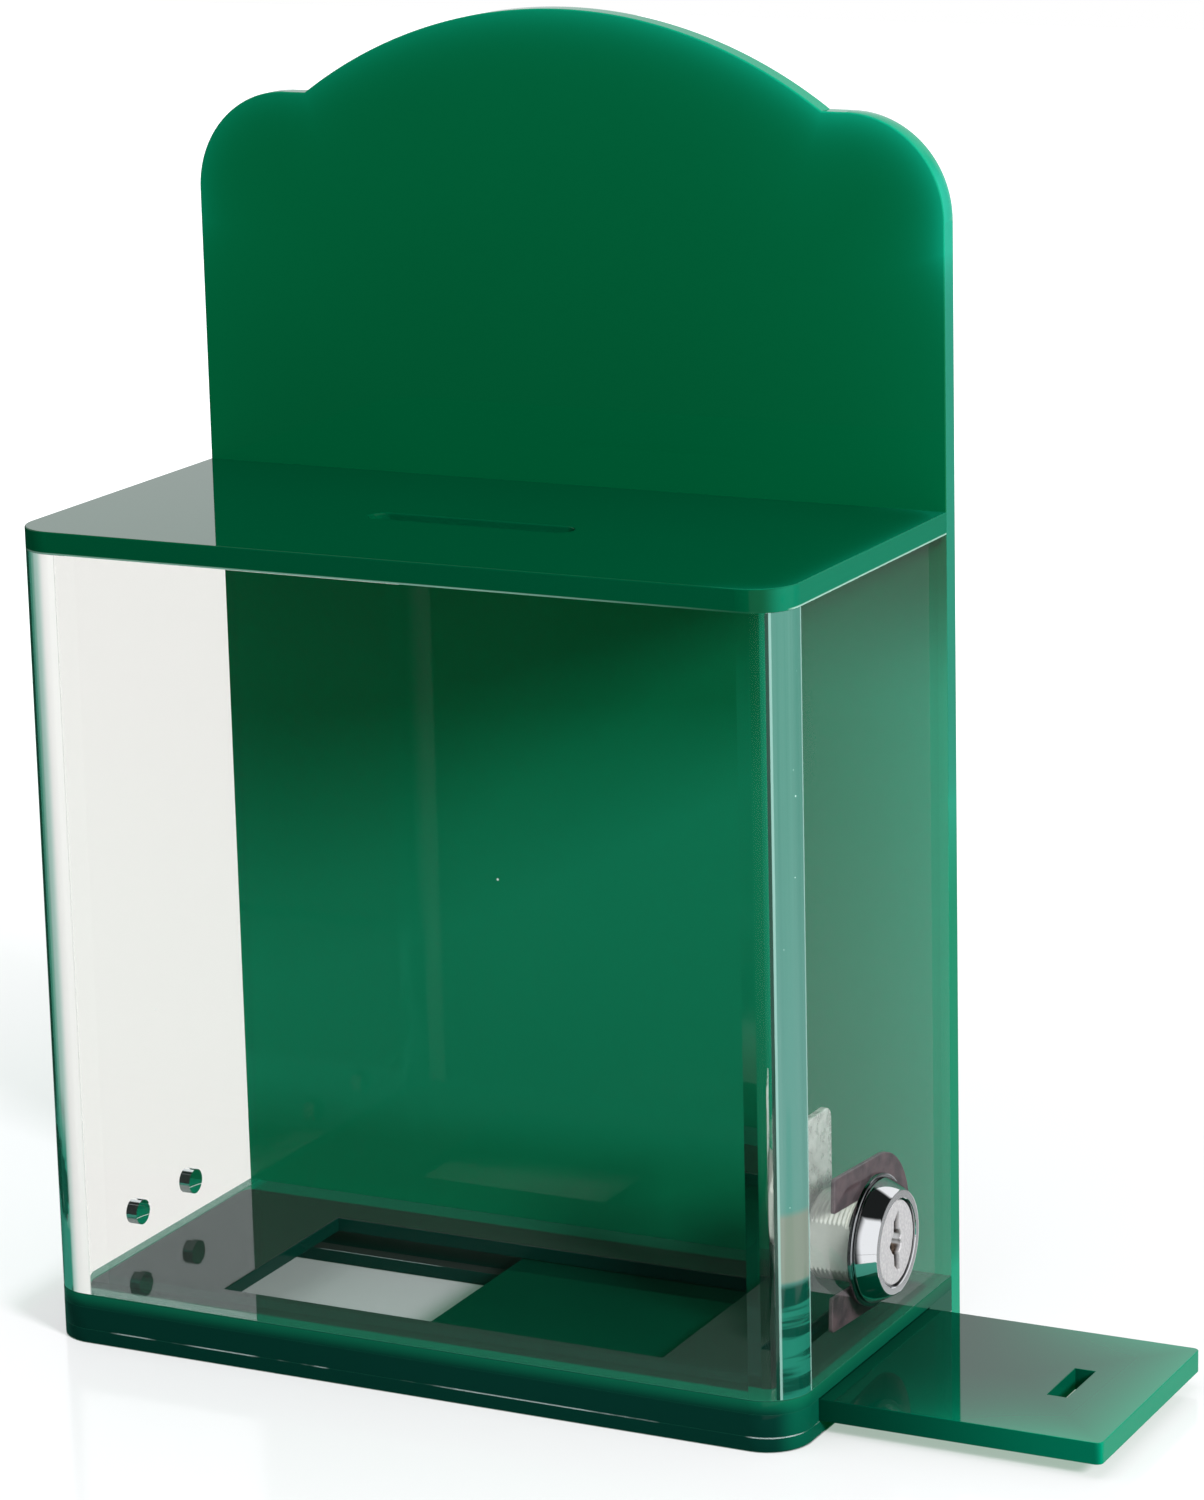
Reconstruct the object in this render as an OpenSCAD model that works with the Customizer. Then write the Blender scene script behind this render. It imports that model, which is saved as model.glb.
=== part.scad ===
// Counter-top donation box: a green acrylic base, lid and header panel, a clear heat-bent wall,
// and a sliding door under the floor that a cam lock in the right-hand wall holds shut.
// Millimetres. X runs to the right, Y to the back, Z up. The origin is the centre of the
// footprint, on the surface that the box stands on. The door is drawn partly pulled out.

/* [Case] */
// Width across the case
case_w = 177.8; // [150:0.1:230]
// Depth from the front face to the header panel
case_d = 83.5; // [82:0.1:130]
// Height of the lid's top surface
case_h = 179.5; // [120:0.1:260]
// Inside radius of the clear wall's two bent front corners
bend_r = 3.2; // [0.4:0.1:6]
// Thickness of the clear wall
wall_t = 6.4; // [5:0.1:7]
// Thickness of the lid and of the header panel
sheet_t = 4.8; // [3:0.1:6]

/* [Header panel] */
// Height of the top of the arch above the lid
header_rise = 102.1; // [95:0.1:160]
// Height of the flat shoulders beside the arch above the lid
shoulder_rise = 82.5; // [60:0.1:90]
// Radius of the round outer corners at the shoulders
shoulder_r = 22; // [5:0.5:25]
// Length of the flat between the round of each shoulder and the arch
shoulder_flat = 5.4; // [3:0.1:15]

/* [Coin slot] */
// Length of the slot in the lid, over its round ends
slot_l = 48; // [35:0.5:70]
// Width of the slot
slot_w = 6.4; // [5:0.1:8]
// Distance from the front face to the middle of the slot
slot_in = 39.6; // [25:0.1:50]

/* [Base] */
// Thickness of the floor plate and of the bottom plate
plate_t = 3.1; // [2.5:0.1:4]
// Height of the rails between the two plates
rail_h = 5; // [4.5:0.1:7]
// Width of the rail along the header panel
rear_rail_w = 12.2; // [8:0.1:13.5]
// Distance from each side of the case to the hatch in the floor plate
hatch_margin = 36.2; // [34:0.1:55]
// Depth of the hatch in the floor plate
hatch_w = 50; // [35:0.5:55]
// Distance from each side of the case to the opening in the bottom plate
opening_margin = 24.4; // [23:0.1:34]
// Width of the ledge that carries each long edge of the door
ledge_w = 3.3; // [2:0.1:5]

/* [Sliding door] */
// Width of the door
door_w = 57.4; // [50:0.1:58.6]
// Thickness of the door
door_t = 4.7; // [4:0.1:4.9]
// Gap between the door's edge and each rail
door_side_gap = 0.35; // [0.2:0.05:0.8]
// Gap under the door
door_under_gap = 0.1; // [0.05:0.01:0.15]
// Gap between the closed door and the end stop
door_end_gap = 0.4; // [0.2:0.1:1]
// Depth of the end stop that the closed door runs up to
end_stop_w = 20.9; // [12:0.1:22]
// How far the door is pulled out
door_out = 61.5; // [0:0.5:80]
// Radius of the door's corners
door_corner_r = 1.5; // [0.5:0.1:4]

/* [Tether holes] */
// Diameter of the two holes in the left-hand wall
tether_d = 5.6; // [3:0.1:8]
// Distance between the two holes
tether_pitch = 22.5; // [12:0.1:40]
// Height of the holes
tether_z = 19.65; // [16:0.05:150]

/* [Lock] */
// Height of the lock's axis
lock_z = 33; // [30:0.1:60]
// Diameter of the threaded barrel
barrel_d = 19; // [17:0.1:20]
// Distance across the barrel's two flats
barrel_af = 15.6; // [15:0.1:16.5]
// Length of the barrel behind the outside of the wall
barrel_l = 16; // [15:0.1:20]
// Diameter of the trim washer
trim_d = 28.1; // [27:0.1:34]
// Thickness of the trim washer
trim_t = 1; // [0.8:0.1:2]
// Diameter of the lock's head at the trim washer
head_base_d = 26.4; // [24:0.1:26.8]
// Diameter of the lock's head at its front rim
head_rim_d = 22.3; // [21:0.1:23]
// How far the head stands out from the wall
head_out = 5.4; // [5:0.1:8]
// Size of the bevels at the head's edges
head_bevel = 0.3; // [0.2:0.1:0.5]
// Diameter of the plug's face
face_d = 18.4; // [17:0.1:19]
// Thickness of the plug's face
face_t = 1.7; // [1.2:0.1:2]
// How far the plug's face sits below the rim
face_recess = 0.4; // [0.2:0.1:0.8]
// Diameter of the plug
plug_d = 13; // [12:0.1:13.6]
// Height of the key slot
key_h = 9.6; // [7:0.1:10]
// Width of the key slot
key_w = 2.6; // [1.5:0.1:2.8]
// Depth of the key slot
key_depth = 17; // [12:0.5:18]

/* [Lock fittings] */
// Thickness of the horseshoe clip that holds the lock in the wall
clip_t = 0.9; // [0.6:0.1:1.2]
// Height of the clip's leg above and below the barrel
clip_leg = 7.4; // [5:0.1:9]
// Distance from the lock's axis to the centre of the clip's round closed end
clip_back = 7; // [3:0.1:12]
// Distance from the lock's axis to the open ends of the clip's legs
clip_front = 16; // [10:0.1:20]
// Depth of the groove in the barrel that the clip sits in
clip_bite = 0.5; // [0.3:0.05:0.8]
// Turn of the clip about the lock's axis, in degrees
clip_turn = -4; // [-8:1:8]
// Thickness of the turning stop washer
stop_t = 0.7; // [0.5:0.1:1]
// Outside diameter of the turning stop washer
stop_d = 17; // [15:0.1:18]
// Width across the square tail of the plug
tail_w = 7; // [6:0.1:7.4]
// Thickness of the star washer behind the cam
star_t = 0.6; // [0.4:0.1:1]
// Outside diameter of the star washer
star_d = 11; // [10.5:0.1:12.5]
// Diameter of the cam screw's head
screw_head_d = 8.4; // [7.5:0.1:10]
// Height of the cam screw's head
screw_head_h = 2.6; // [2:0.1:3.5]
// Diameter of the cam screw's thread
screw_d = 4; // [3:0.1:4.5]
// Length of the cam screw's thread
screw_l = 6; // [5:0.5:8]
// Number of teeth on the star washer
star_teeth = 10; // [6:1:14]

/* [Wafers] */
// Number of wafers along the plug
wafer_count = 5; // [3:1:5]
// Thickness of a wafer
wafer_t = 0.9; // [0.6:0.1:1.2]
// Width of a wafer
wafer_w = 6.2; // [5.6:0.1:7]
// Height of the wafer's rim above and below the key slot
wafer_rim = 0.8; // [0.5:0.1:1]
// Distance from one wafer to the next
wafer_pitch = 2.6; // [1.8:0.1:2.8]

/* [Cam] */
// Width of the cam
cam_w = 14; // [12:0.1:15]
// Thickness of the cam
cam_t = 1.8; // [1.2:0.1:2.2]
// How far the cam's tip reaches into the door when it points down
cam_bite = 0.6; // [0.4:0.05:1.2]
// Radius of the two corners of the tip
cam_corner_r = 2.5; // [1.5:0.1:4]
// Width of the slots that the cam turns into
cam_slot_w = 4.4; // [4.1:0.1:5]

/* [Fits] */
// Radial running clearance of the plug in the barrel
plug_fit = 0.05; // [0.02:0.01:0.1]
// Clearance between faces that turn past each other
turn_gap = 0.05; // [0.02:0.01:0.15]
// Clearance round the barrel in the wall, the trim washer and the clip
barrel_fit = 0.15; // [0.05:0.05:0.3]
// Clearance round each wafer in its slot
wafer_fit = 0.1; // [0.05:0.05:0.2]
// Clearance round the plug's tail in the cam and washers
tail_fit = 0.05; // [0.02:0.01:0.1]
// Clearance beyond the cam's sweep at each end of the slots that it turns into
sweep_gap = 0.7; // [0.4:0.1:2]

/* [Hidden] */
$fn = 96;
// Extra length of a cutter past the face that it opens
past = 1;
half_w = case_w / 2;
// Outside radius of the front corners
corner_r = bend_r + wall_t;
depth = case_d + sheet_t;
front_y = -depth / 2;
header_y = front_y + case_d;
base_h = 2 * plate_t + rail_h;
lid_z = case_h - sheet_t;
rail_z = plate_t;
floor_z = plate_t + rail_h;

// Track: the door, the hatch, the openings and the lock share one centre line
track_w = door_w + 2 * door_side_gap;
track_y = header_y - rear_rail_w - track_w / 2;
front_rail_w = track_y - track_w / 2 - front_y;
hatch_l = case_w - 2 * hatch_margin;
base_opening_l = case_w - 2 * opening_margin;
base_opening_w = door_w - 2 * ledge_w;
door_l = case_w - end_stop_w - door_end_gap;
door_x = half_w - door_l + door_out;
door_z = plate_t + door_under_gap;

// Header arch, a circle through the ends of its chord
header_h = case_h + header_rise;
shoulder_h = case_h + shoulder_rise;
arch_rise = header_h - shoulder_h;
arch_w = case_w - 2 * (shoulder_r + shoulder_flat);
arch_r = (pow(arch_w / 2, 2) + pow(arch_rise, 2)) / (2 * arch_rise);

// Positions along the lock's axis, measured outwards from the outside of the wall
barrel_end = -barrel_l;
clip_back_u = -wall_t - clip_t;
face_front = head_out - face_recess;
face_back = face_front - face_t;
stop_front = barrel_end - turn_gap;
cam_front = stop_front - stop_t;
cam_back = cam_front - cam_t;
star_back = cam_back - star_t;
// The tail ends a little short of the cam's back, so that the screw clamps the cam
tail_back = cam_back + cam_t / 4;
barrel_r = barrel_d / 2;
plug_r = plug_d / 2;
cam_x = half_w + (cam_front + cam_back) / 2;

// The corners of the cam's tip sweep a circle, and each slot is as long as its chord at the slot's top
cam_l = lock_z - door_z - door_t + cam_bite;
cam_straight = cam_l - cam_corner_r;
cam_side = cam_w / 2 - cam_corner_r;
cam_reach = sqrt(pow(cam_straight, 2) + pow(cam_side, 2)) + cam_corner_r;
function slot_under_cam(z) = 2 * (sqrt(pow(cam_reach, 2) - pow(lock_z - z, 2)) + sweep_gap);
floor_slot_l = slot_under_cam(base_h);
door_slot_l = slot_under_cam(door_z + door_t);

// Wafers: flat brass plates in slots across the plug, each with a spring at its lower end
wafer_h = key_h + 2 * wafer_rim;
wafer_front = face_back - wafer_pitch;
spring_l = (plug_d - wafer_h) / 2 - 2 * plug_fit;

green = [0.02, 0.36, 0.21, 0.9];
clear = [0.8, 0.92, 0.88, 0.35];
chromed = [0.78, 0.78, 0.76];
cast_grey = [0.66, 0.66, 0.64];
spring_brown = [0.42, 0.36, 0.38];
brass_yellow = [0.78, 0.62, 0.3];

// Outline of the case in plan, with its two round front corners, drawn inwards by inset
module plan(inset) {
    r = corner_r - inset;
    w = case_w - 2 * inset;
    translate([-w / 2, front_y + corner_r]) square([w, header_y - front_y - corner_r]);
    translate([-w / 2 + r, front_y + inset]) square([w - 2 * r, corner_r]);
    for (side = [-1, 1])
        translate([side * (half_w - corner_r), front_y + corner_r]) circle(r = r);
}

// A slot along X with round ends, centred
module round_slot(length, width) {
    square([length - width, width], center = true);
    for (side = [-1, 1])
        translate([side * (length - width) / 2, 0]) circle(d = width);
}

// A rectangle with small round corners, from its low corner
module round_rect(length, width, r) {
    translate([r, 0]) square([length - 2 * r, width]);
    translate([0, r]) square([length, width - 2 * r]);
    for (x = [r, length - r], y = [r, width - r])
        translate([x, y]) circle(r = r);
}

// Lays a shape's Z axis along the lock's axis, with Z = 0 on the outside of the wall.
// The shape's X axis then points down and its Y axis to the back
module on_lock_axis() {
    translate([half_w, track_y, lock_z])
        rotate([0, 90, 0]) children();
}

// Cross-section of the barrel, a circle with two flats, with a clearance all round
module barrel_section(fit) {
    intersection() {
        circle(r = barrel_r + fit);
        square([2 * barrel_d, barrel_af + 2 * fit], center = true);
    }
}

module tail_section(fit) {
    square([tail_w + 2 * fit, tail_w + 2 * fit], center = true);
}

module header_outline() {
    straight_h = shoulder_h - shoulder_r;
    translate([-half_w, 0]) square([case_w, straight_h]);
    translate([-half_w + shoulder_r, straight_h]) square([case_w - 2 * shoulder_r, shoulder_r]);
    for (side = [-1, 1])
        translate([side * (half_w - shoulder_r), straight_h]) circle(r = shoulder_r);
    intersection() {
        translate([0, header_h - arch_r]) circle(r = arch_r);
        translate([-half_w, shoulder_h - past]) square([case_w, arch_rise + 2 * past]);
    }
}

module back_panel() {
    color(green)
        translate([0, header_y + sheet_t, 0])
            rotate([90, 0, 0])
                linear_extrude(sheet_t) header_outline();
}

module top_panel() {
    color(green)
        translate([0, 0, lid_z])
            difference() {
                linear_extrude(sheet_t) plan(0);
                translate([0, front_y + slot_in, -past])
                    linear_extrude(sheet_t + 2 * past) round_slot(slot_l, slot_w);
            }
}

module clear_shell() {
    shell_h = lid_z - base_h;
    color(clear)
        difference() {
            translate([0, 0, base_h]) linear_extrude(shell_h)
                difference() {
                    plan(0);
                    plan(wall_t);
                    translate([-half_w + wall_t, header_y - past])
                        square([case_w - 2 * wall_t, 2 * past]);
                }
            for (side = [-1, 1])
                translate([-half_w - past, side * tether_pitch / 2, tether_z])
                    rotate([0, 90, 0]) cylinder(d = tether_d, h = wall_t + 2 * past);
            on_lock_axis()
                translate([0, 0, -wall_t - past])
                    linear_extrude(wall_t + 2 * past) barrel_section(barrel_fit);
        }
}

module floor_plate() {
    color(green)
        translate([0, 0, floor_z]) linear_extrude(plate_t)
            difference() {
                plan(0);
                translate([0, track_y]) square([hatch_l, hatch_w], center = true);
                translate([cam_x, track_y]) square([cam_slot_w, floor_slot_l], center = true);
            }
}

module front_rail() {
    color(green)
        translate([0, 0, rail_z]) linear_extrude(rail_h)
            intersection() {
                plan(0);
                translate([-half_w, front_y]) square([case_w, front_rail_w]);
            }
}

module back_rail() {
    color(green)
        translate([-half_w, header_y - rear_rail_w, rail_z]) cube([case_w, rear_rail_w, rail_h]);
}

module end_stop() {
    color(green)
        translate([-half_w, track_y - track_w / 2, rail_z]) cube([end_stop_w, track_w, rail_h]);
}

module bottom_plate() {
    color(green)
        linear_extrude(plate_t)
            difference() {
                plan(0);
                translate([0, track_y])
                    square([base_opening_l, base_opening_w], center = true);
            }
}

module sliding_door() {
    color(green)
        translate([0, 0, door_z]) linear_extrude(door_t)
            difference() {
                translate([door_x, track_y - door_w / 2]) round_rect(door_l, door_w, door_corner_r);
                translate([cam_x + door_out, track_y])
                    square([cam_slot_w, door_slot_l], center = true);
            }
}

module trim_washer() {
    bevel = trim_t / 4;
    color(chromed)
        on_lock_axis()
            rotate_extrude()
                polygon([
                    [barrel_r + barrel_fit, 0],
                    [trim_d / 2, 0],
                    [trim_d / 2, trim_t - bevel],
                    [trim_d / 2 - bevel, trim_t],
                    [barrel_r + barrel_fit, trim_t]
                ]);
}

module lock_housing() {
    recess_r = face_d / 2 + turn_gap;
    rim_r = head_rim_d / 2;
    base_r = head_base_d / 2;
    color(chromed)
        on_lock_axis() {
            rotate_extrude()
                polygon([
                    [plug_r + plug_fit, trim_t],
                    [base_r - head_bevel, trim_t],
                    [base_r, trim_t + head_bevel],
                    [base_r, trim_t + 2 * head_bevel],
                    [rim_r, head_out - head_bevel],
                    [rim_r - head_bevel, head_out],
                    [recess_r, head_out],
                    [recess_r, face_back - turn_gap],
                    [plug_r + plug_fit, face_back - turn_gap]
                ]);
            difference() {
                translate([0, 0, barrel_end])
                    linear_extrude(barrel_l + trim_t) barrel_section(0);
                translate([0, 0, barrel_end - past])
                    cylinder(r = plug_r + plug_fit, h = barrel_l + trim_t + 2 * past);
                translate([0, 0, clip_back_u])
                    difference() {
                        cylinder(r = barrel_r + past, h = clip_t);
                        cylinder(r = barrel_r - clip_bite, h = clip_t);
                    }
            }
        }
}

// A horseshoe whose legs pass above and below the barrel and whose round closed end is at the back
module clip_outline() {
    gap_r = barrel_r - clip_bite;
    leg_end = gap_r + clip_leg;
    difference() {
        union() {
            translate([-leg_end, -clip_front]) square([2 * leg_end, clip_front + clip_back]);
            translate([0, clip_back]) circle(r = leg_end);
        }
        circle(r = gap_r);
        translate([-gap_r, -clip_front - past]) square([2 * gap_r, clip_front + past]);
    }
}

module lock_clip() {
    color(spring_brown)
        on_lock_axis()
            translate([0, 0, clip_back_u])
                rotate(clip_turn) linear_extrude(clip_t) clip_outline();
}

// The slots across the plug that hold the wafers
module wafer_slots(fit) {
    for (i = [0 : wafer_count - 1])
        translate([0, 0, wafer_front - i * wafer_pitch])
            cube([plug_d + 2 * past, wafer_w + 2 * fit, wafer_t + 2 * fit], center = true);
}

module lock_plug() {
    key_r = key_h / 2;
    color(cast_grey)
        on_lock_axis()
            difference() {
                union() {
                    translate([0, 0, face_back]) cylinder(d = face_d, h = face_t);
                    translate([0, 0, stop_front])
                        cylinder(r = plug_r, h = face_back - stop_front);
                    translate([0, 0, tail_back])
                        linear_extrude(stop_front - tail_back) tail_section(0);
                }
                translate([0, 0, face_front - key_depth])
                    linear_extrude(key_depth + past) {
                        square([key_h, key_w], center = true);
                        circle(d = 2 * key_w);
                    }
                wafer_slots(wafer_fit);
                translate([0, 0, tail_back - past]) cylinder(d = screw_d, h = screw_l + past);
            }
}

module plug_wafers() {
    color(brass_yellow)
        on_lock_axis()
            for (i = [0 : wafer_count - 1])
                translate([0, 0, wafer_front - i * wafer_pitch])
                    difference() {
                        intersection() {
                            cube([wafer_h, wafer_w, wafer_t], center = true);
                            cylinder(r = plug_r, h = wafer_t, center = true);
                        }
                        cube([key_h, key_w, 2 * wafer_t], center = true);
                        cylinder(d = 2 * key_w, h = 2 * wafer_t, center = true);
                    }
}

module wafer_springs() {
    color(chromed)
        on_lock_axis()
            for (i = [0 : wafer_count - 1])
                translate([wafer_h / 2, 0, wafer_front - i * wafer_pitch])
                    rotate([0, 90, 0]) cylinder(d = wafer_t, h = spring_l);
}

module stop_washer() {
    color(cast_grey)
        on_lock_axis()
            translate([0, 0, cam_front])
                linear_extrude(stop_t)
                    difference() {
                        circle(d = stop_d);
                        tail_section(tail_fit);
                    }
}

// A flat bar with a round end about the lock's axis and two round corners at its tip
module cam_outline() {
    circle(d = cam_w);
    translate([-cam_straight, -cam_w / 2]) square([cam_straight, cam_w]);
    translate([-cam_l, -cam_side]) square([cam_l, 2 * cam_side]);
    for (side = [-1, 1])
        translate([-cam_straight, side * cam_side]) circle(r = cam_corner_r);
}

module lock_cam() {
    color(cast_grey)
        on_lock_axis()
            translate([0, 0, cam_back])
                linear_extrude(cam_t)
                    difference() {
                        cam_outline();
                        tail_section(tail_fit);
                    }
}

module cam_star_washer() {
    color(chromed)
        on_lock_axis()
            translate([0, 0, star_back])
                linear_extrude(star_t)
                    difference() {
                        union() {
                            circle(d = star_d - 2 * star_t);
                            for (i = [0 : star_teeth - 1])
                                rotate(i * 360 / star_teeth)
                                    translate([star_d / 2 - 2 * star_t, -star_t])
                                        square([2 * star_t, 2 * star_t]);
                        }
                        circle(r = screw_d / 2 + barrel_fit);
                    }
}

module cam_screw() {
    color(chromed)
        on_lock_axis()
            translate([0, 0, star_back - screw_head_h])
                difference() {
                    union() {
                        cylinder(d = screw_head_d, h = screw_head_h);
                        cylinder(d = screw_d, h = screw_head_h + star_t + screw_l);
                    }
                    for (turn = [0, 90])
                        rotate([0, 0, turn])
                            translate([0, 0, -past])
                                linear_extrude(past + screw_head_h / 2)
                                    square([screw_head_d / 2, screw_head_h / 3], center = true);
                }
}

back_panel();
top_panel();
clear_shell();
floor_plate();
front_rail();
back_rail();
end_stop();
bottom_plate();
sliding_door();
trim_washer();
lock_housing();
lock_clip();
lock_plug();
plug_wafers();
wafer_springs();
stop_washer();
lock_cam();
cam_star_washer();
cam_screw();
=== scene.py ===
import math
from functools import reduce

import bpy
from mathutils import Matrix, Vector
from mathutils.geometry import tessellate_polygon


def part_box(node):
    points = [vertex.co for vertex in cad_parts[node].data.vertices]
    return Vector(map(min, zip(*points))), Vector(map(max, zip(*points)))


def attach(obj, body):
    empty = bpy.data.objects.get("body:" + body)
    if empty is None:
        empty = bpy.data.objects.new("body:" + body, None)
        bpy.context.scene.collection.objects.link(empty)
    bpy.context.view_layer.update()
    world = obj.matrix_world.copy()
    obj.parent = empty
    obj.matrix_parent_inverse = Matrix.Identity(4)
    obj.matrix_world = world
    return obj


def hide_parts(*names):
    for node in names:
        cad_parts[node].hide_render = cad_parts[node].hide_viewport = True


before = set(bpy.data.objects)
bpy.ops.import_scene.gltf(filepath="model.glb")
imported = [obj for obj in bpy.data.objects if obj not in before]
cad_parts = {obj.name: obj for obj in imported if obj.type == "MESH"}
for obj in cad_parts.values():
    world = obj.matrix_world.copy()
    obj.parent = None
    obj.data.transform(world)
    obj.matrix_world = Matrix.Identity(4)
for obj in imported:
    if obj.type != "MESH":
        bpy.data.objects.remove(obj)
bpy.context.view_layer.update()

MM = 0.001

# -------- sizes from the frame

HEADER_LOW, HEADER_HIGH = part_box("back_panel")
LID_LOW, LID_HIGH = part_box("top_panel")
SHELL_LOW, SHELL_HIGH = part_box("clear_shell")
FLOOR_LOW, FLOOR_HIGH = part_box("floor_plate")
RAIL_LOW, RAIL_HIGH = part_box("front_rail")
REAR_LOW, REAR_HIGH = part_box("back_rail")
STOP_LOW, STOP_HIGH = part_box("end_stop")
BASE_LOW, BASE_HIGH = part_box("bottom_plate")
DOOR_LOW, DOOR_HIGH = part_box("sliding_door")
TRIM_LOW, TRIM_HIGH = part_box("trim_washer")
CAM_LOW, CAM_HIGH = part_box("lock_cam")
CLIP_LOW, CLIP_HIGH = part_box("lock_clip")
PLUG_LOW, PLUG_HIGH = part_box("lock_plug")
HOUSING_LOW, HOUSING_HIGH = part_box("lock_housing")

HALF_W = SHELL_HIGH[0]
FRONT = SHELL_LOW[1]
HEADER_FACE = SHELL_HIGH[1]
DOOR_OUT = DOOR_HIGH[0] - HALF_W
TRACK_Y = (DOOR_LOW[1] + DOOR_HIGH[1]) / 2
AXIS_Y = (TRIM_LOW[1] + TRIM_HIGH[1]) / 2
AXIS_Z = (TRIM_LOW[2] + TRIM_HIGH[2]) / 2
CAM_X = (CAM_LOW[0] + CAM_HIGH[0]) / 2
CAM_HALF_W = (CAM_HIGH[1] - CAM_LOW[1]) / 2
CAM_L = CAM_HIGH[2] - AXIS_Z
TRIM_T = TRIM_HIGH[0] - HALF_W
TRIM_R = (TRIM_HIGH[1] - TRIM_LOW[1]) / 2
HEAD_OUT = HOUSING_HIGH[0] - HALF_W
BARREL_END = HOUSING_LOW[0] - HALF_W
FACE_OUT = PLUG_HIGH[0] - HALF_W
TAIL_END = PLUG_LOW[0] - HALF_W
CLIP_BACK, CLIP_FACE = CLIP_LOW[0] - HALF_W, CLIP_HIGH[0] - HALF_W

# Sheets, in metres: sizes that the boxes don't give
CORNER_R = 9.6 * MM  # outside radius of the case's two front corners
WALL = 6.4 * MM
DOOR_CORNER_R = 1.5 * MM
SHEET_BEVEL = 0.3 * MM
DOOR_BEVEL = 0.15 * MM
FLOOR_JOINT_BEVEL, BASE_JOINT_BEVEL = 0.03 * MM, 0.05 * MM  # at the two glued joints in the base
SEAM = 0.02 * MM  # gap that keeps two glued faces apart
SHOULDER_R = 22 * MM
SHOULDER_FLAT = 5.4 * MM
SHOULDER_TOP = HEADER_HIGH[2] - 19.6 * MM
ARCH_HALF = HALF_W - SHOULDER_R - SHOULDER_FLAT
ARCH_RISE = HEADER_HIGH[2] - SHOULDER_TOP
ARCH_R = (ARCH_HALF ** 2 + ARCH_RISE ** 2) / (2 * ARCH_RISE)
SLOT_L, SLOT_W = 48 * MM, 6.4 * MM
SLOT_Y = FRONT + 39.6 * MM
HATCH_L, HATCH_W = 105.4 * MM, 50 * MM
OPENING_L, OPENING_W = 129 * MM, 50.8 * MM
TETHER_D, TETHER_PITCH, TETHER_Z = 5.6 * MM, 22.5 * MM, 19.65 * MM

# Lock
BARREL_R, BARREL_AF, GROOVE_R = 9.5 * MM, 15.6 * MM, 9.0 * MM
HOLE_R = BARREL_R + 0.15 * MM  # round part of the wall's hole, and the trim ring's bore
THREAD_PITCH, THREAD_DEPTH, THREAD_STEPS = 1.0 * MM, 0.3 * MM, 8
HEAD_BASE_R, HEAD_RIM_R, RECESS_R = 13.2 * MM, 11.15 * MM, 9.35 * MM
FACE_R, FACE_T, PLUG_R, TAIL_HALF = 8.95 * MM, 1.7 * MM, 6.5 * MM, 3.5 * MM
PLUG_GAP = 0.05 * MM  # around the plug and its tail
TAIL_LEAD = 0.7 * MM  # stretch of the square tail in front of the cam
KEY_HALF_H, KEY_HALF_W, KEY_R, KEY_DEPTH = 5.6 * MM, 1.3 * MM, 2.7 * MM, 17 * MM
CLIP_HALF, CLIP_ROUND_Y, CLIP_FRONT, CLIP_TURN = 16.4 * MM, 7 * MM, 16 * MM, -4
CLIP_BEVEL, CAM_BEVEL = 0.15 * MM, 0.35 * MM
CAM_SLOT_W, CAM_CORNER_R, SWEEP_GAP = 4.4 * MM, 2.5 * MM, 0.7 * MM
STRAIGHT_L, SIDE_L = CAM_L - CAM_CORNER_R, CAM_HALF_W - CAM_CORNER_R
CAM_REACH = math.hypot(STRAIGHT_L, SIDE_L) + CAM_CORNER_R

# -------- mesh tools


def arc(centre, radius, start, end, steps):
    """Points on a circle from one angle to another, in degrees, both ends included."""
    turns = [math.radians(start + (end - start) * i / steps) for i in range(steps + 1)]
    return [(centre[0] + radius * math.cos(t), centre[1] + radius * math.sin(t)) for t in turns]


def rounded(low, high, radius, steps=8):
    """A rectangle with round corners, anticlockwise."""
    x0, y0, x1, y1 = low[0] + radius, low[1] + radius, high[0] - radius, high[1] - radius
    corners = [((x1, y1), 0), ((x0, y1), 90), ((x0, y0), 180), ((x1, y0), 270)]
    return [p for c, a in corners for p in arc(c, radius, a, a + 90, steps)]


def circle(centre, radius, sides=48):
    return arc(centre, radius, 0, 360 - 360 / sides, sides - 1)


def box_loop(low, high):
    return [(low[0], low[1]), (high[0], low[1]), (high[0], high[1]), (low[0], high[1])]


def centred_slot(centre, length_x, length_y):
    half = (length_x / 2, length_y / 2)
    return box_loop((centre[0] - half[0], centre[1] - half[1]), (centre[0] + half[0], centre[1] + half[1]))


def slot_under_cam(top):
    """Length of the slot that lets the cam's corners swing through a sheet below its axis."""
    return 2 * (math.sqrt(CAM_REACH ** 2 - (AXIS_Z - top) ** 2) + SWEEP_GAP)


def offset(loop, distance):
    """A closed anticlockwise outline moved inwards by a distance, with mitred corners."""
    out = []
    for i, here in enumerate(loop):
        before, after = Vector(loop[i - 1]), Vector(loop[(i + 1) % len(loop)])
        a = (Vector(here) - before).normalized()
        b = (after - Vector(here)).normalized()
        normal = Vector((-a.y - b.y, a.x + b.x))
        if normal.length < 1e-9:
            normal = Vector((-a.y, a.x))
        normal.normalize()
        reach = distance / max(0.3, normal.dot(Vector((-a.y, a.x))))
        out.append(tuple(Vector(here) + normal * reach))
    return out


def upright(x, y, z):
    """A plate drawn in plan, its thickness along +Z."""
    return (x, y, z)


def facing_back(x, y, z):
    """A plate drawn in the X-Z plane, its thickness along +Y."""
    return (x, z, y)


def along_x(x, y, z):
    """A plate drawn in the Y-Z plane, its thickness along +X."""
    return (z, x, y)


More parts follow.
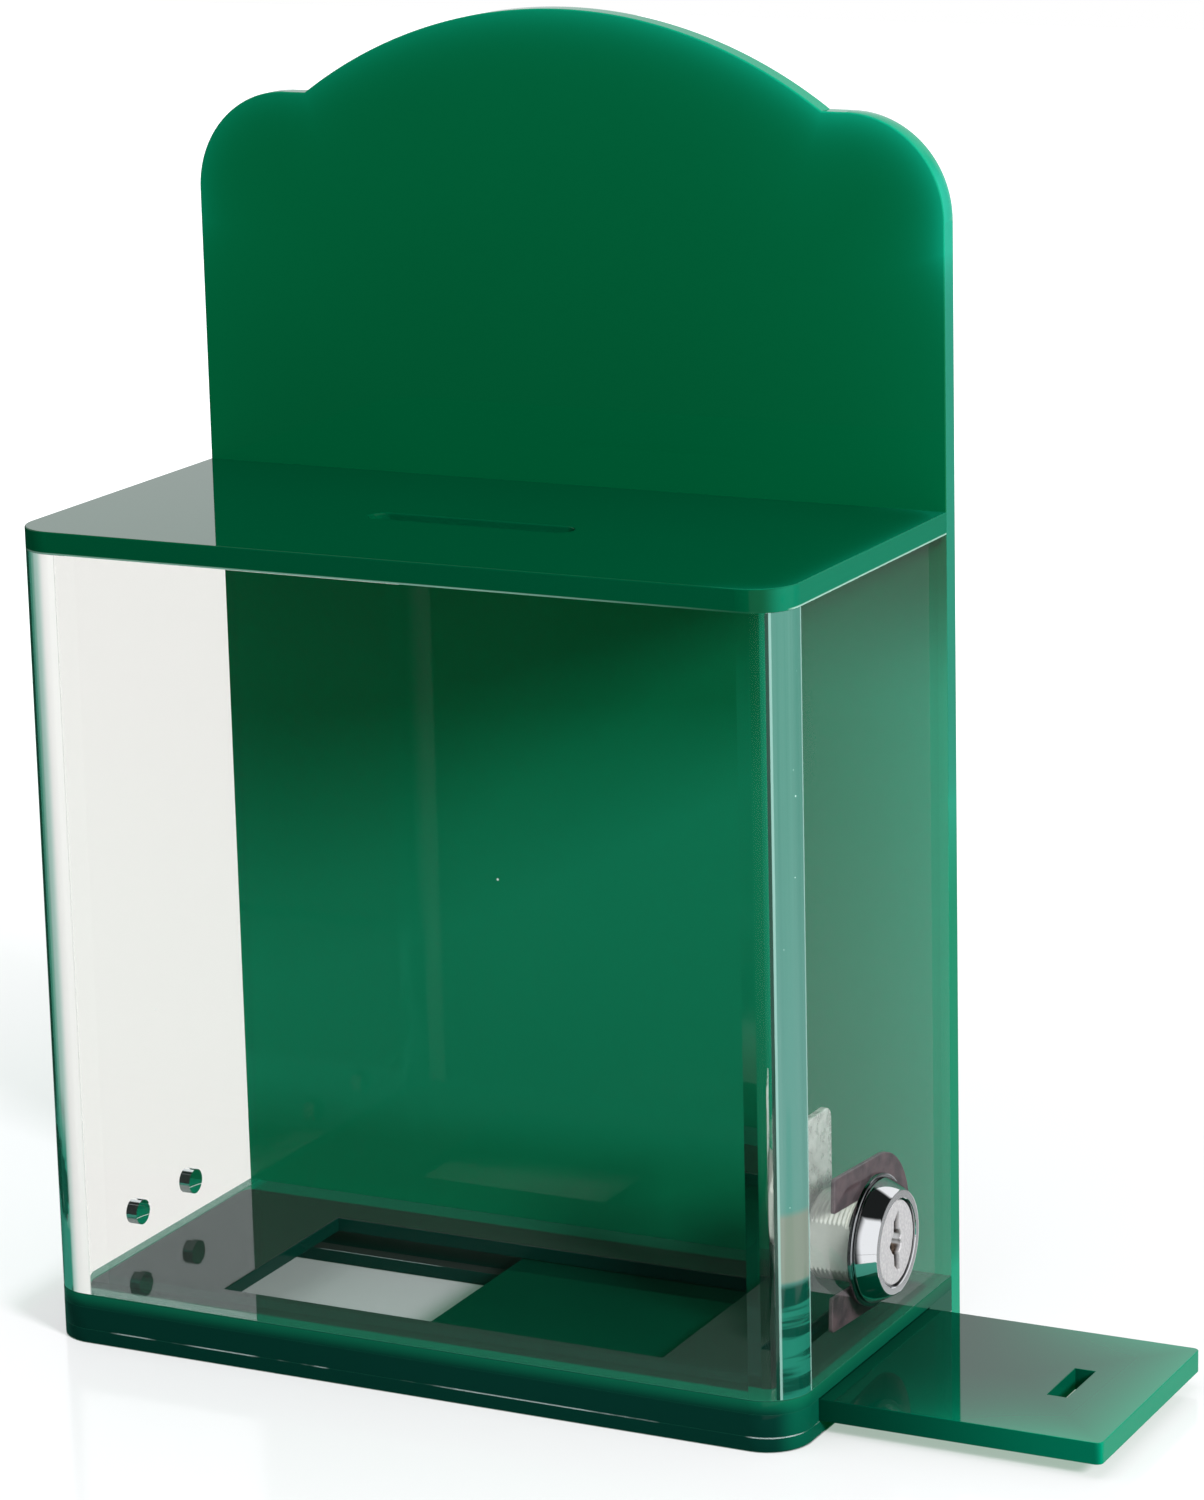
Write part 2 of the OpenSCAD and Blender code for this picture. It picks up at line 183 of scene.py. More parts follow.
def finish_mesh(name, verts, faces, material, flip=False):
    """Makes an object whose narrow faces shade smooth with each other and whose flat ones stay flat."""
    mesh = bpy.data.meshes.new(name)
    mesh.from_pydata(verts, [], [tuple(reversed(f)) for f in faces] if flip else faces)
    mesh.materials.append(material)
    piece = bpy.data.objects.new(name, mesh)
    bpy.context.scene.collection.objects.link(piece)
    shade(mesh)
    return piece


def shade(mesh, narrow=2.5 * MM, limit=35):
    """Marks every edge sharp but those between two narrow faces that turn only a little.

    A face that is square to an axis is part of a flat, however narrow it is.
    """
    mesh.update()
    widths = []
    for face in mesh.polygons:
        points = [mesh.vertices[i].co for i in face.vertices]
        sides = [(points[i] - points[i - 1]).length for i in range(len(points))]
        square = max(abs(c) for c in face.normal) > 0.99999
        widths.append(narrow if square else min(max(sides), 2 * face.area / max(sides)))
    beside = {}
    for face in mesh.polygons:
        for key in face.edge_keys:
            beside.setdefault(key, []).append(face.index)
    for face in mesh.polygons:
        face.use_smooth = True
    sharp = mesh.attributes.new("sharp_edge", "BOOLEAN", "EDGE")
    for edge in mesh.edges:
        pair = beside.get(edge.key, [])
        smooth = False
        if len(pair) == 2:
            a, b = (mesh.polygons[i] for i in pair)
            turn = math.degrees(a.normal.angle(b.normal, 0))
            smooth = turn < 0.05 or (turn < limit and max(widths[a.index], widths[b.index]) < narrow)
        sharp.data[edge.index].value = not smooth


def rings_between(low, high, low_bevel, high_bevel, steps=3):
    """Inset and height of each ring of a slab's side, from its low face to its high face."""
    rings = []
    for i in range(steps + 1 if low_bevel else 1):
        t = math.radians(90 * i / steps)
        rings.append((low_bevel * (1 - math.sin(t)), low + low_bevel * (1 - math.cos(t))))
    for i in range(steps + 1 if high_bevel else 1):
        t = math.radians(90 * i / steps)
        rings.append((high_bevel * (1 - math.cos(t)), high - high_bevel * (1 - math.sin(t))))
    return rings


def slab(name, loops, low, high, material, place=upright, bevels=(SHEET_BEVEL, SHEET_BEVEL), rim=None):
    """A sheet with round-nosed edges: the first loop is its outline, the others are holes in it.

    Its edges may have a material of their own, rim.
    """
    verts, faces, flat, bottom, top = [], [], [], [], []
    rings = rings_between(low, high, *bevels)
    for number, loop in enumerate(loops):
        grow, count = -1 if number else 1, len(loop)
        starts, drawn = [], []
        for inset, height in rings:
            moved = offset(loop, grow * inset) if inset else loop
            drawn.append(moved)
            starts.append(len(verts))
            verts += [place(x, y, height) for x, y in moved]
        for a, b in zip(starts, starts[1:]):
            for i in range(count):
                j = (i + 1) % count
                quad = (a + i, a + j, b + j, b + i)
                faces.append(quad[::grow])
        flat.append([Vector((*p, 0)) for p in drawn[0]])
        bottom += range(starts[0], starts[0] + count)
        top += range(starts[-1], starts[-1] + count)
    points = [point for loop in flat for point in loop]
    for index, flipped in ((bottom, True), (top, False)):
        for tri in tessellate_polygon(flat):
            a, b, c = (points[t] for t in tri)
            facing_up = (b - a).cross(c - a).z > 0
            corner = tuple(index[t] for t in tri)
            faces.append(corner if facing_up != flipped else corner[::-1])
    piece = finish_mesh(name, verts, faces, material, flip=place is facing_back)
    if rim:
        piece.data.materials.append(rim)
        across = Vector(place(0.0, 0.0, 1.0))
        for face in piece.data.polygons:
            face.material_index = 0 if abs(face.normal.dot(across)) > 0.999 else 1
    return piece


def on_circle(radius, out, turn):
    """A point about the lock's axis, so far out from the wall. It starts at the top and goes to the back."""
    return (HALF_W + out, AXIS_Y + radius * math.sin(turn), AXIS_Z + radius * math.cos(turn))


def lathe(name, profile, material, segments=128, place=on_circle):
    """A ring turned about the lock's axis from (radius, distance out from the wall) points."""
    turns = [math.tau * i / segments for i in range(segments)]
    loops = [[place(radius, out, turn) for turn in turns] for radius, out in profile]
    return tube(name, loops, material, closed=True)


def tube(name, loops, material, closed=False):
    """Skins a row of loops of equal length: joined end to end, or with a flat cap at each end."""
    count = len(loops[0])
    verts = [point for loop in loops for point in loop]
    faces = []
    for number in range(len(loops) if closed else len(loops) - 1):
        a, b = number * count, (number + 1) % len(loops) * count
        for i in range(count):
            j = (i + 1) % count
            faces.append((a + i, b + i, b + j, a + j))
    if not closed:
        for start, turned in ((0, False), (len(verts) - count, True)):
            ring = verts[start:start + count]
            middle = len(verts)
            verts.append(tuple(sum(p[k] for p in ring) / count for k in range(3)))
            for i in range(count):
                j = (i + 1) % count
                face = (start + i, start + j, middle)
                faces.append(face[::-1] if turned else face)
    return finish_mesh(name, verts, faces, material)


# -------- material tools


class Nodes:
    """A short way to write the node tree of a new material or world: each call makes a node."""

    def __init__(self, owner):
        self.owner = owner
        owner.use_nodes = True
        self.tree = owner.node_tree
        self.tree.nodes.clear()

    def add(self, kind, inputs, **settings):
        """Each input is another node's output, which is linked, or the value of the socket itself."""
        node = self.tree.nodes.new("ShaderNode" + kind)
        for key, value in settings.items():
            setattr(node, key, value)
        for key, value in inputs.items():
            if isinstance(value, bpy.types.NodeSocket):
                self.tree.links.new(value, node.inputs[key])
            else:
                node.inputs[key].default_value = value
        return node

    def shader(self, kind, **inputs):
        return self.add(kind, {key.replace("_", " "): value for key, value in inputs.items()}).outputs[0]

    def principled(self, **inputs):
        return self.shader("BsdfPrincipled", **inputs)

    def open_air(self, tint=(1.0, 1.0, 1.0, 1.0)):
        return self.shader("BsdfTransparent", Color=tint)

    def blend(self, factor, a, b):
        """Shader a at zero, shader b at one."""
        return self.add("MixShader", {0: factor, 1: a, 2: b}).outputs[0]

    def output(self, **ends):
        """Ends the tree, and gives the finished material."""
        self.add("OutputMaterial", ends)
        return self.owner

    def math(self, operation, a, b=0.0):
        return self.add("Math", {0: a, 1: b}, operation=operation).outputs[0]

    def times(self, *factors):
        return reduce(lambda a, b: self.math("MULTIPLY", a, b), factors)

    def most(self, *values):
        return reduce(lambda a, b: self.math("MAXIMUM", a, b), values)

    def plus(self, a, b):
        return self.math("ADD", a, b)

    def minus(self, a, b):
        return self.math("SUBTRACT", a, b)

    def size(self, a):
        return self.math("ABSOLUTE", a)

    def vector(self, operation, a, b=(0.0, 0.0, 0.0)):
        node = self.add("VectorMath", {0: a, 1: b}, operation=operation)
        return node.outputs["Value" if operation == "LENGTH" else "Vector"]

    def split(self, vector):
        return self.add("SeparateXYZ", {0: vector}).outputs

    def ramp(self, value, low, high):
        """Zero at low, one at high, by a smooth step between them."""
        inputs = {"Value": value, "From Min": low, "From Max": high}
        return self.add("MapRange", inputs, interpolation_type="SMOOTHSTEP").outputs[0]

    def slope(self, value, low, high, at_low=0.0, at_high=1.0):
        """Straight from one level at low to another at high, and level beyond them."""
        inputs = {"Value": value, "From Min": low, "From Max": high, "To Min": at_low, "To Max": at_high}
        return self.add("MapRange", inputs).outputs[0]

    def choose(self, factor, a, b):
        """Number a at zero, number b at one."""
        return self.add("Mix", {0: factor, 2: a, 3: b}).outputs[0]

    def mix(self, factor, a, b):
        """Colour a at zero, colour b at one."""
        return self.add("Mix", {0: factor, 6: a, 7: b}, data_type="RGBA").outputs[2]

    def noise(self, scale, detail=2.0, roughness=0.5, stretch=None):
        """Cloudy noise, finer along the axes that stretch makes longer."""
        where = self.vector("MULTIPLY", self.position(), stretch) if stretch else self.position()
        inputs = {"Vector": where, "Scale": scale, "Detail": detail, "Roughness": roughness}
        return self.add("TexNoise", inputs).outputs["Fac"]

    def specks(self, scale, size, chosen):
        """Round specks in a few cells of a scattered pattern. Both ranges are ramps: the distance from a
        cell's middle, and the cell's random number."""
        cell = self.add("TexVoronoi", {"Vector": self.position(), "Scale": scale}).outputs
        picked = self.ramp(self.split(cell["Color"])[0], *chosen)
        return self.times(self.ramp(cell["Distance"], *size), picked)

    def position(self):
        return self.add("TexCoord", {}).outputs["Object"]

    def place(self):
        """The three coordinates of the point, in metres."""
        return self.split(self.position())

    def facing(self):
        """The three parts of the direction that the surface faces."""
        return self.split(self.add("NewGeometry", {}).outputs["Normal"])

    def path(self):
        """What kind of ray looks."""
        return self.add("LightPath", {}).outputs

    def bump(self, height, strength, distance):
        return self.add("Bump", {"Height": height, "Strength": strength, "Distance": distance}).outputs[0]


def material_nodes(name):
    return Nodes(bpy.data.materials.new(name))


def rgb(r, g, b):
    """A linear colour from the 0-255 values that a screen shows."""
    def linear(v):
        v /= 255
        return v / 12.92 if v <= 0.04045 else ((v + 0.055) / 1.055) ** 2.4
    return (linear(r), linear(g), linear(b), 1.0)


def scaled(colour, level):
    return tuple(c * level for c in colour[:3]) + (1.0,)


def in_plane(n, axes, centre):
    """The way from a centre to the point, measured along two of the three axes."""
    keep = tuple(1.0 if a in axes else 0.0 for a in "XYZ")
    return n.vector("MULTIPLY", n.vector("SUBTRACT", n.position(), centre), keep)


def depth_in_box(n, axes, centre, half, radius):
    """How far inside a rounded rectangle a point is."""
    size = tuple(h - radius if a in axes else 0.0 for h, a in zip(half, "XYZ"))
    q = n.vector("SUBTRACT", n.vector("ABSOLUTE", in_plane(n, axes, centre)), size)
    outside = n.vector("LENGTH", n.vector("MAXIMUM", q, (0.0, 0.0, 0.0)))
    parts = n.split(q)
    first, second = (parts["XYZ".index(a)] for a in axes)
    inside = n.math("MINIMUM", n.most(first, second), 0.0)
    return n.minus(radius, n.plus(outside, inside))


def depth_in_circle(n, axes, centre, radius):
    return n.minus(radius, n.vector("LENGTH", in_plane(n, axes, centre)))


# -------- materials

ACRYLIC_IOR = 1.49
FACE_GLOSS, EDGE_GLOSS = 0.45, 0.1
FAR_REACH, FAR_SHARE = 5, 0.13  # the part of the edge light that goes further into a sheet
GREEN_LIGHT = (0.01, 0.42, 0.24, 1.0)  # what a green sheet lets through


def green_sheet(name, core, edge, reach, depth, lit, layers=(), polish=0.025, gloss=FACE_GLOSS, seep=False):
    """Deep green cast sheet. Light gathers at its polished edges and fades within reach of them.

    depth gives how far inside its outline a point is, and lit how strongly the edges glow there. Each
    layer is a function that gives how much of a colour to lay over it, and the colour. Where the sheet
    seeps, light that has bounced passes through it too.
    """
    n = material_nodes(name)
    inwards = depth(n)
    near = n.math("EXPONENT", n.times(inwards, -1 / reach))
    far = n.math("EXPONENT", n.times(inwards, -1 / (FAR_REACH * reach)))
    glow = n.times(n.plus(n.times(near, 1 - FAR_SHARE), n.times(far, FAR_SHARE)), lit(n))
    cloud = n.ramp(n.noise(7.0, 3.0), 0.3, 0.7)
    colour = n.mix(glow, n.mix(cloud, scaled(core, 0.96), scaled(core, 1.06)), edge)
    for amount, tone in layers:
        colour = n.mix(amount(n), colour, tone)
    hairline = n.ramp(n.noise(900.0, stretch=(1.0, 9.0, 2.0)), 0.62, 0.85)
    sheet = n.principled(
        Base_Color=colour, Roughness=n.plus(n.times(hairline, 0.04), polish), IOR=ACRYLIC_IOR,
        Specular_IOR_Level=gloss, Normal=n.bump(n.noise(30.0, 1.0), 0.02, 0.03 * MM))
    path = n.path()
    lamp = n.most(path["Is Shadow Ray"], path["Is Diffuse Ray"]) if seep else path["Is Shadow Ray"]
    return n.output(Surface=n.blend(lamp, sheet, n.open_air(GREEN_LIGHT)))


def sheet_pair(name, *look, **more):
    """The material of a sheet's faces and that of its edges, which mirror less."""
    return green_sheet(name, *look, **more), green_sheet(name + "_rim", *look, gloss=EDGE_GLOSS, **more)


# How far round a bent corner its light comes out, in radians from the flat front: where it starts on the
# left and on the right, as ramps, and where it ends, just past the bend
LEFT_GLOW, RIGHT_GLOW = (-0.2, -0.15), (0.6, 0.62)
GLOW_END = 1.62


def bent_corner(n):
    """The two bent front corners of the clear wall: where the light that runs in the sheet comes out, the
    part before it, which is quite clear, how far round the bend it is, and which of the two it is."""
    place = n.place()
    sideways = n.minus(n.size(place[0]), HALF_W - CORNER_R)
    forwards = n.minus(FRONT + CORNER_R, place[1])
    turn = n.math("ARCTAN2", sideways, forwards)
    right = n.math("GREATER_THAN", place[0], 0.0)
    started = n.choose(right, n.ramp(turn, *LEFT_GLOW), n.ramp(turn, *RIGHT_GLOW))
    from_axis = n.vector("LENGTH", n.add("CombineXYZ", {0: sideways, 1: forwards}).outputs[0])
    outer = n.math("GREATER_THAN", from_axis, CORNER_R - 0.5 * MM)
    lit = n.times(started, n.ramp(turn, GLOW_END, GLOW_END - 0.02), outer)
    clear = n.times(n.minus(1.0, started), n.math("GREATER_THAN", turn, 0.0),
                    n.math("LESS_THAN", turn, GLOW_END))
    return lit, clear, turn, right


# Heights on the right-hand bend: the rippled image of the floor painted there, and the grey patch painted
# above it
RIPPLE_TOP, PATCH_TOP = 35.5 * MM, 50.5 * MM


def right_bend_tone(n, turn):
    """The painted light of the right-hand bend: pale at both sides, hazy teal between, darker and rippled
    near the floor, a painted image of it.
    """
    height = n.place()[2]
    streak = n.ramp(n.noise(1.0, 3.0, stretch=(900.0, 900.0, 6.0)), 0.3, 0.7)
    tone = n.mix(streak, rgb(58, 112, 99), rgb(66, 118, 105))
    tone = n.mix(n.ramp(height, 160 * MM, 50 * MM), tone, rgb(74, 122, 112))
    tone = n.mix(n.specks(700.0, (0.16, 0.1), (0.95, 0.96)), tone, rgb(170, 205, 196))
    patch = n.times(n.ramp(height, RIPPLE_TOP, RIPPLE_TOP + MM),
                    n.ramp(height, PATCH_TOP + MM, PATCH_TOP - MM), 0.62)
    tone = n.mix(patch, tone, rgb(122, 116, 102))
    wave = n.ramp(n.noise(1.0, stretch=(40.0, 40.0, 460.0)), 0.42, 0.58)
    ripple = n.mix(wave, rgb(4, 56, 44), rgb(26, 104, 86))
    tone = n.mix(n.ramp(height, RIPPLE_TOP + MM, RIPPLE_TOP - MM), tone, ripple)
    sides = n.most(n.ramp(turn, 0.76, 0.73), n.ramp(turn, GLOW_END - 0.07, GLOW_END - 0.05))
    tone = n.mix(n.times(sides, 0.75), tone, rgb(132, 168, 160))
    return n.mix(n.ramp(turn, 0.7, 0.68), tone, rgb(5, 48, 36))


def left_bend_tone(n, turn):
    """The painted light of the left-hand bend: from pale, where the bend starts, through teal to dark green
    at its outline, and blotched low down.
    """
    tone = rgb(239, 239, 235)
    for start, end, colour in ((0.12, 0.34, rgb(186, 220, 208)), (0.38, 0.48, rgb(128, 190, 168)),
                               (0.5, 0.56, rgb(78, 158, 134)), (0.6, 0.68, rgb(14, 84, 62))):
        tone = n.mix(n.ramp(turn, start, end), tone, colour)
    blotch = n.ramp(n.noise(1.0, 3.0, stretch=(160.0, 160.0, 70.0)), 0.5, 0.56)
    low = n.times(n.ramp(n.place()[2], 60 * MM, 40 * MM), n.ramp(turn, 0.28, 0.36))
    return n.mix(low, tone, n.mix(blotch, rgb(60, 158, 134), rgb(10, 84, 64)))


def clear_acrylic():
    """Clear sheet: glass to the eye, a plain tint to lamps, open where it is glued, a little dusty, with
    painted light at its two bent corners.
    """
    n = material_nodes("clear_sheet")
    glass = n.principled(Base_Color=(0.985, 0.995, 0.99, 1.0), Roughness=0.0, IOR=ACRYLIC_IOR,
                         Transmission_Weight=1.0)
    dust = n.shader("BsdfDiffuse", Color=(0.8, 0.84, 0.83, 1.0))
    body = n.blend(n.times(n.specks(260.0, (0.09, 0.05), (0.988, 0.99)), 0.6), glass, dust)
    lit, clear, turn, right = bent_corner(n)
    tone = n.mix(right, left_bend_tone(n, turn), right_bend_tone(n, turn))
    body = n.blend(n.times(lit, 0.94), body, n.principled(Base_Color=tone, Roughness=0.08, IOR=ACRYLIC_IOR))
    body = n.blend(n.times(clear, 0.9), body, n.open_air((0.95, 0.98, 0.97, 1.0)))
    glued = n.add("Attribute", {}, attribute_name="glued", attribute_type="GEOMETRY").outputs["Fac"]
    body = n.blend(glued, body, n.open_air())
    path = n.path()
    lamp = n.most(path["Is Shadow Ray"], path["Is Diffuse Ray"])
    surface = n.blend(lamp, body, n.open_air((0.95, 0.975, 0.965, 1.0)))
    tint = n.shader("VolumeAbsorption", Color=(0.3, 0.95, 0.82, 1.0), Density=2.5)
    return n.output(Surface=surface, Volume=tint)


def metal(n, colour, metallic, rough, bump):
    return n.output(Surface=n.principled(Base_Color=colour, Metallic=metallic, Roughness=rough, Normal=bump))


def chrome(name, tone, grain):
    """Bright plate with faint waves and pin-head pits."""
    n = material_nodes(name)
    pits = n.ramp(n.noise(2600.0), 0.68, 0.8)
    colour = n.mix(n.times(pits, 0.5), tone, scaled(tone, 0.6))
    rough = n.plus(n.times(n.noise(700.0, 3.0), grain), 0.02)
    return metal(n, colour, 1.0, rough, n.bump(n.noise(160.0), 0.08, 0.4 * MM))


def plug_metal():
    """Satin nickel with a fine grain. In the keyhole, painted shade blotched greasy brown, and a painted
    glint in its middle.
    """
    n = material_nodes("plug_metal")
    grain = n.noise(1500.0, 3.0)
    nickel = n.mix(n.ramp(grain, 0.35, 0.7), rgb(196, 194, 196), rgb(216, 214, 214))
    place, face = n.place(), HALF_W + FACE_OUT
    # Down in the keyhole the colour is painted shade, blotched with greasy brown.
    sunk = n.ramp(place[0], face - 0.15 * MM, face - 1.2 * MM)
    shade_and_grease = n.mix(n.ramp(n.noise(700.0, 3.0), 0.4, 0.62), rgb(24, 20, 18), rgb(120, 104, 92))
    # A pale painted glint along the keyhole's middle.
    middle = n.ramp(n.size(n.minus(place[2], AXIS_Z)), 1.4 * MM, 0.9 * MM)
    colour = n.mix(sunk, nickel, n.mix(middle, shade_and_grease, rgb(236, 238, 240)))
    return metal(n, colour, 0.45, n.plus(n.times(grain, 0.12), 0.26), n.bump(grain, 0.12, 0.06 * MM))


def spring_steel():
    """Heat-browned steel with cloudy tempering and a few bright scuffs."""
    n = material_nodes("browned_steel")
    cloud = n.mix(n.ramp(n.noise(210.0, 3.0), 0.3, 0.7), rgb(96, 84, 90), rgb(134, 110, 116))
    scuff = n.ramp(n.noise(1100.0), 0.74, 0.8)
    rough = n.minus(0.42, n.times(scuff, 0.2))
    bump = n.bump(n.noise(900.0, 3.0), 0.12, 0.1 * MM)
    return metal(n, n.mix(scuff, cloud, rgb(208, 200, 200)), 0.6, rough, bump)


def cast_zinc():
    """Dull nickel over a casting: soft grey blotches, small dimples and paler high spots."""
    n = material_nodes("cast_nickel")
    blotch = n.ramp(n.noise(330.0, 4.0, 0.65), 0.35, 0.65)
    colour = n.mix(blotch, rgb(214, 214, 208), rgb(250, 249, 244))
    dimples = n.add("TexVoronoi", {"Vector": n.position(), "Scale": 620.0}).outputs["Distance"]
    rough = n.plus(n.times(blotch, 0.18), 0.24)
    return metal(n, colour, 0.6, rough, n.bump(n.plus(dimples, n.noise(500.0, 3.0)), 0.35, 0.2 * MM))


def satin(name, tone, stretch=None):
    """Brushed metal with a fine grain, which may be drawn out along one direction."""
    n = material_nodes(name)
    grain = n.noise(1500.0, 3.0, stretch=stretch)
    colour = n.mix(n.ramp(grain, 0.35, 0.7), scaled(tone, 0.82), tone)
    return metal(n, colour, 0.45, n.plus(n.times(grain, 0.15), 0.3), n.bump(grain, 0.15, 0.08 * MM))


# -------- table and room

# The table as mirror images show it: a white board that ends in front of the box, at the left of it and
# partly behind it, with a dark room beyond, an unlit strip before the box and a gap
BOARD_FRONT, BOARD_LEFT, DARK_SIDE_X = -130 * MM, -100 * MM, 300 * MM
UNLIT_FRONT, UNLIT_BACK, GAP_FRONT, GAP_BACK = -79 * MM, -20 * MM, -200 * MM, -190 * MM
# What the camera sees of it: how much it glows, close to the box and far off
NEAR_GLOW, FAR_GLOW, NEAR_REACH, FAR_END = 0.36, 0.9, 200 * MM, 800 * MM
# The white that shows through clear sheets
THROUGH_WHITE, THROUGH_STRENGTH = (1.0, 0.95, 0.932, 1.0), 1.14


def board_end(n):
    """How far the board is missing at a point."""
    x, y = n.place()[:2]
    side = n.times(n.ramp(x, DARK_SIDE_X + 50 * MM, DARK_SIDE_X), n.ramp(y, FRONT + 16 * MM, FRONT + 6 * MM))
    left = n.ramp(x, BOARD_LEFT, BOARD_LEFT - 20 * MM)
    beyond = n.ramp(y, BOARD_FRONT + MM, BOARD_FRONT - MM)
    behind = n.plus(n.times(n.ramp(y, 20 * MM, 70 * MM), 0.6), n.times(n.ramp(y, 120 * MM, 600 * MM), 0.2))
    return n.most(side, left, beyond, behind)


def unlit_strip(n):
    x, y = n.place()[:2]
    return n.times(n.ramp(y, UNLIT_FRONT, UNLIT_FRONT + 6 * MM), n.ramp(y, UNLIT_BACK, UNLIT_BACK - 10 * MM),
                   n.ramp(x, DARK_SIDE_X + 20 * MM, DARK_SIDE_X))


def board_gap(n):
    y = n.place()[1]
    return n.times(n.ramp(y, GAP_FRONT, GAP_FRONT + MM), n.ramp(y, GAP_BACK, GAP_BACK - MM))


def table_top():
    """Glossy white table: keeps soft shadows and a faint mirror image. It glows to the camera, and is plain
    white through clear sheets."""
    n = material_nodes("table_top")
    path = n.path()
    mirrored = n.math("MINIMUM", path["Glossy Depth"], 1.0)
    direct = n.minus(1.0, mirrored)
    seen = n.times(n.most(path["Is Camera Ray"], path["Is Transmission Ray"]), direct)
    away = n.vector("LENGTH", n.position())
    footprint = depth_in_box(n, "XY", (0.0, 0.0, 0.0), (HALF_W, -FRONT, 0.0), CORNER_R)
    beside = n.math("LESS_THAN", footprint, 0.0)
    surface = n.principled(
        Base_Color=n.mix(n.noise(4.0), (0.46, 0.465, 0.47, 1.0), (0.49, 0.495, 0.5, 1.0)), Roughness=0.12,
        IOR=1.45, Specular_IOR_Level=0.3, Emission_Color=(1.0, 1.0, 1.0, 1.0),
        Emission_Strength=n.times(n.slope(away, NEAR_REACH, FAR_END, NEAR_GLOW, FAR_GLOW), seen, beside))
    unlit = n.shader("BsdfDiffuse", Color=(0.04, 0.2, 0.15, 1.0))
    gap = n.shader("BsdfDiffuse", Color=(0.01, 0.01, 0.01, 1.0))
    for amount, shader in ((board_end(n), n.open_air()), (unlit_strip(n), unlit), (board_gap(n), gap)):
        surface = n.blend(n.times(amount, mirrored), surface, shader)
    backdrop = n.shader("Emission", Color=THROUGH_WHITE, Strength=THROUGH_STRENGTH)
    through = n.times(path["Is Transmission Ray"], beside, direct)
    return n.output(Surface=n.blend(through, surface, backdrop))


# -------- stage, light and camera

CAMERA_AT = (490.9 * MM, -915.2 * MM, 389.6 * MM)  # angles in radians, lens and sensor in mm
CAMERA_YAW, CAMERA_PITCH, CAMERA_ROLL = 0.469, 0.246, -0.024
CAMERA_LENS = 121.4
SENSOR = 36


def make_camera():
    data = bpy.data.cameras.new("camera")
    data.lens = CAMERA_LENS
    data.sensor_width = SENSOR
    data.clip_start = 0.01
    camera = bpy.data.objects.new("camera", data)
    turn = Matrix.Rotation(CAMERA_YAW, 4, "Z")
    tip = Matrix.Rotation(math.pi / 2 - CAMERA_PITCH, 4, "X")
    roll = Matrix.Rotation(CAMERA_ROLL, 4, "Z")
    camera.matrix_world = Matrix.Translation(CAMERA_AT) @ turn @ tip @ roll
    bpy.context.scene.collection.objects.link(camera)
    bpy.context.scene.camera = camera


def studio_shade(n):
    """Where the studio is dark: overhead, front left, back right and low at the far left."""
    x, y, z = n.split(n.add("TexCoord", {}).outputs["Generated"])
    front_left = n.times(n.ramp(x, 0.22, 0.1), n.ramp(y, -0.1, -0.3))
    back_right = n.times(n.ramp(x, 0.15, 0.35), n.ramp(y, 0.45, 0.7), n.ramp(n.size(z), 0.5, 0.3), 0.8)
    far_left = n.times(n.ramp(x, -0.6, -0.75), n.ramp(z, 0.2, 0.1))
    return n.most(front_left, n.ramp(z, 0.78, 0.86), back_right, far_left)


def make_world():
    """White to the eye. Mirror images see the studio, dimmer once it is mirrored again."""
    world = bpy.data.worlds.new("studio")
    bpy.context.scene.world = world
    n = Nodes(world)
    path = n.path()
    room = n.mix(studio_shade(n), (0.88, 0.9, 0.92, 1.0), (0.012, 0.014, 0.014, 1.0))
    again = n.math("MINIMUM", n.most(n.minus(path["Glossy Depth"], 1.0), 0.0), 1.0)
    mirrored = n.shader("Background", Color=room, Strength=n.minus(1.0, n.times(again, 0.75)))
    ambient = n.shader("Background", Color=(0.97, 0.985, 1.0, 1.0), Strength=0.46)
    through = n.shader("Background", Color=THROUGH_WHITE, Strength=THROUGH_STRENGTH)
    plain = n.shader("Background", Color=(1.0, 1.0, 1.0, 1.0), Strength=1.0)
    surface = n.blend(path["Is Transmission Ray"], ambient, through)
    surface = n.blend(n.math("MINIMUM", path["Glossy Depth"], 1.0), surface, mirrored)
    surface = n.blend(path["Is Camera Ray"], surface, plain)
    n.add("OutputWorld", {"Surface": surface})


def make_lamp(name, at, towards, side, power):
    """A square soft light that mirror images and the clear wall don't show. Metres and watts."""
    data = bpy.data.lights.new(name, "AREA")
    data.shape = "RECTANGLE"
    data.size = data.size_y = side
    data.energy = power
    lamp = bpy.data.objects.new(name, data)
    aim = (Vector(towards) - Vector(at)).to_track_quat("-Z", "Y")
    lamp.matrix_world = Matrix.Translation(at) @ aim.to_matrix().to_4x4()
    lamp.visible_glossy = False
    lamp.visible_transmission = False
    bpy.context.scene.collection.objects.link(lamp)


TABLE_FRONT, TABLE_REACH = -0.62, 2.5
TABLE_TOP = -0.1 * MM


def make_stage():
    """The table and three soft lights."""
    corners = box_loop((-TABLE_REACH, TABLE_FRONT), (TABLE_REACH, TABLE_REACH))
    table = finish_mesh("table", [(x, y, TABLE_TOP) for x, y in corners], [(0, 1, 2, 3)], table_top())
    make_lamp("soft_top", (-0.1, -0.15, 1.3), (0.0, 0.0, 0.1), 1.2, 7.0)
    make_lamp("soft_left", (-1.1, -0.6, 0.7), (0.0, 0.0, 0.15), 0.8, 2.5)
    make_lamp("key_right", (1.3, -0.66, 0.76), (0.0, 0.0, 0.1), 0.3, 36.0)


# -------- acrylic sheets

